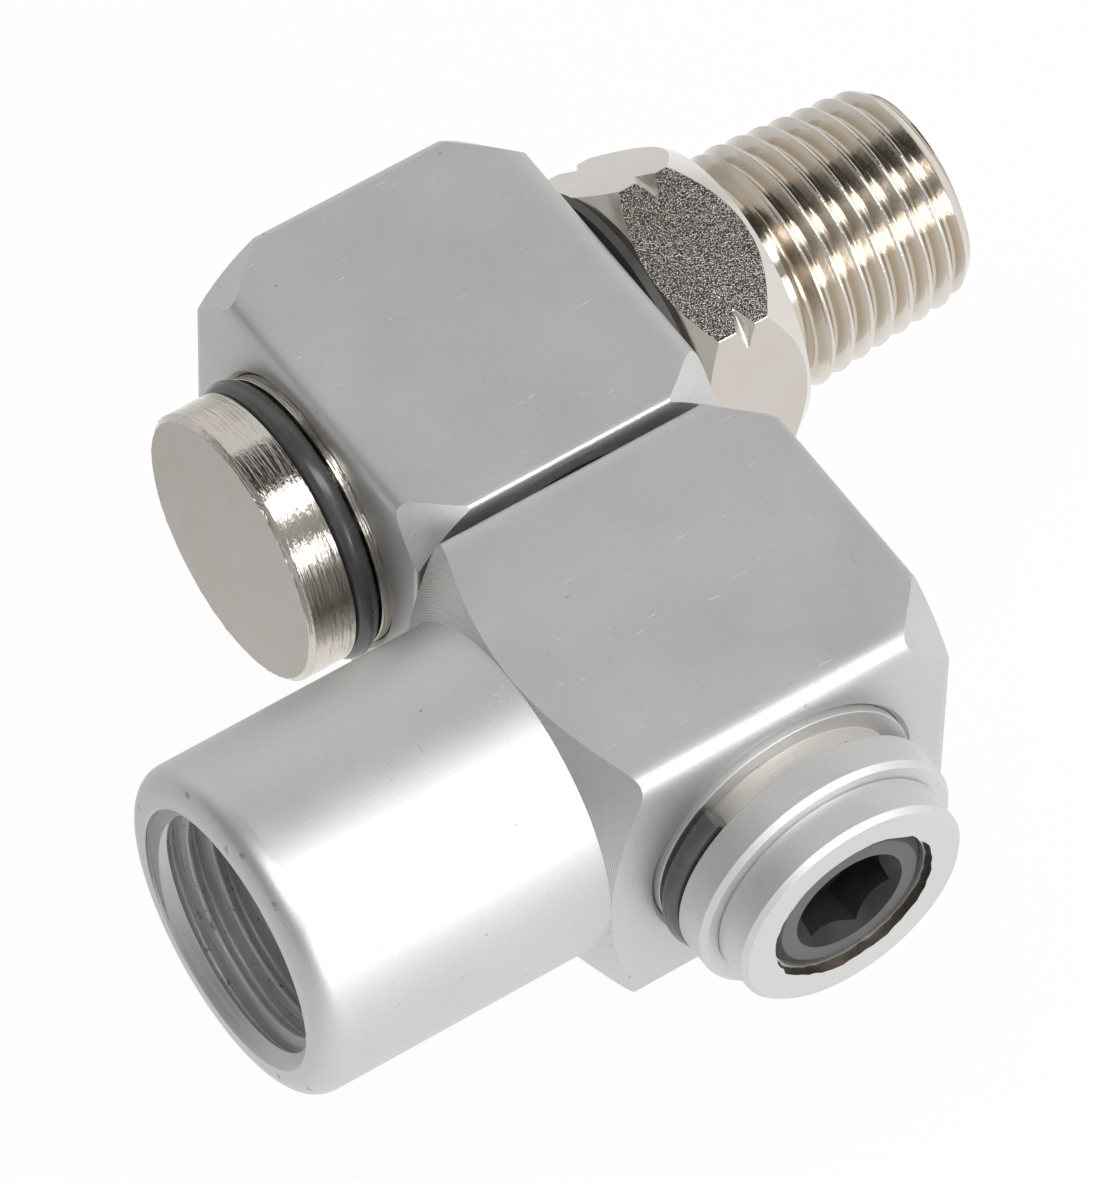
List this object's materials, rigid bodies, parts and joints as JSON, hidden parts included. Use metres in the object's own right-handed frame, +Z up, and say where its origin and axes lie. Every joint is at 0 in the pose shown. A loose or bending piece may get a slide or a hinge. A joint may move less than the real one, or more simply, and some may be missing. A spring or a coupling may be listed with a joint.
{
  "type": "swivel air connector",
  "caption": "Two-axis swivel air connector: a female port on a square block turns on a spigot of a second block, which turns on a hex-shouldered male taper-thread spindle.",
  "frame": {"origin": "on the male thread's axis, in the gauge plane of the taper thread, 6 mm from its small end", "axes": "+X along the male thread and out of it; -Y along the spigot, towards the plug screw; +Z up, at right angles to both swivel axes"},
  "size_m": [0.0572, 0.047, 0.019],
  "materials": {
    "block_aluminium": "satin clear-anodised aluminium with fine tool marks",
    "nickel": "nickel plate over turned and drawn surfaces",
    "ring_wire": "black oxide spring wire",
    "plug_steel": "black oxide steel",
    "seal_rubber": "greased nitrile",
    "washer_plastic": "filled low-friction plastic"
  },
  "bodies": {
    "spindle": {"male_spindle": "nickel", "spindle_snap_ring": "ring_wire", "spindle_front_seal": "seal_rubber", "spindle_rear_seal": "seal_rubber", "spindle_thrust_washer": "washer_plastic"},
    "outlet": {"outlet_block": "block_aluminium", "spigot_inner_seal": "seal_rubber", "spigot_outer_seal": "seal_rubber", "spigot_thrust_washer": "washer_plastic", "spigot_snap_ring": "ring_wire", "plug_screw": "plug_steel"},
    "inlet": {"inlet_block": "block_aluminium"}
  },
  "joints": [
    {"name": "spindle_swivel", "type": "hinge", "parent": "spindle", "child": "outlet", "pos_m": [-0.0232, 0, 0], "axis": [1, 0, 0], "continuous": true},
    {"name": "inlet_swivel", "type": "hinge", "parent": "outlet", "child": "inlet", "pos_m": [-0.0232, -0.02045, 0], "axis": [0, 1, 0], "continuous": true}
  ]
}
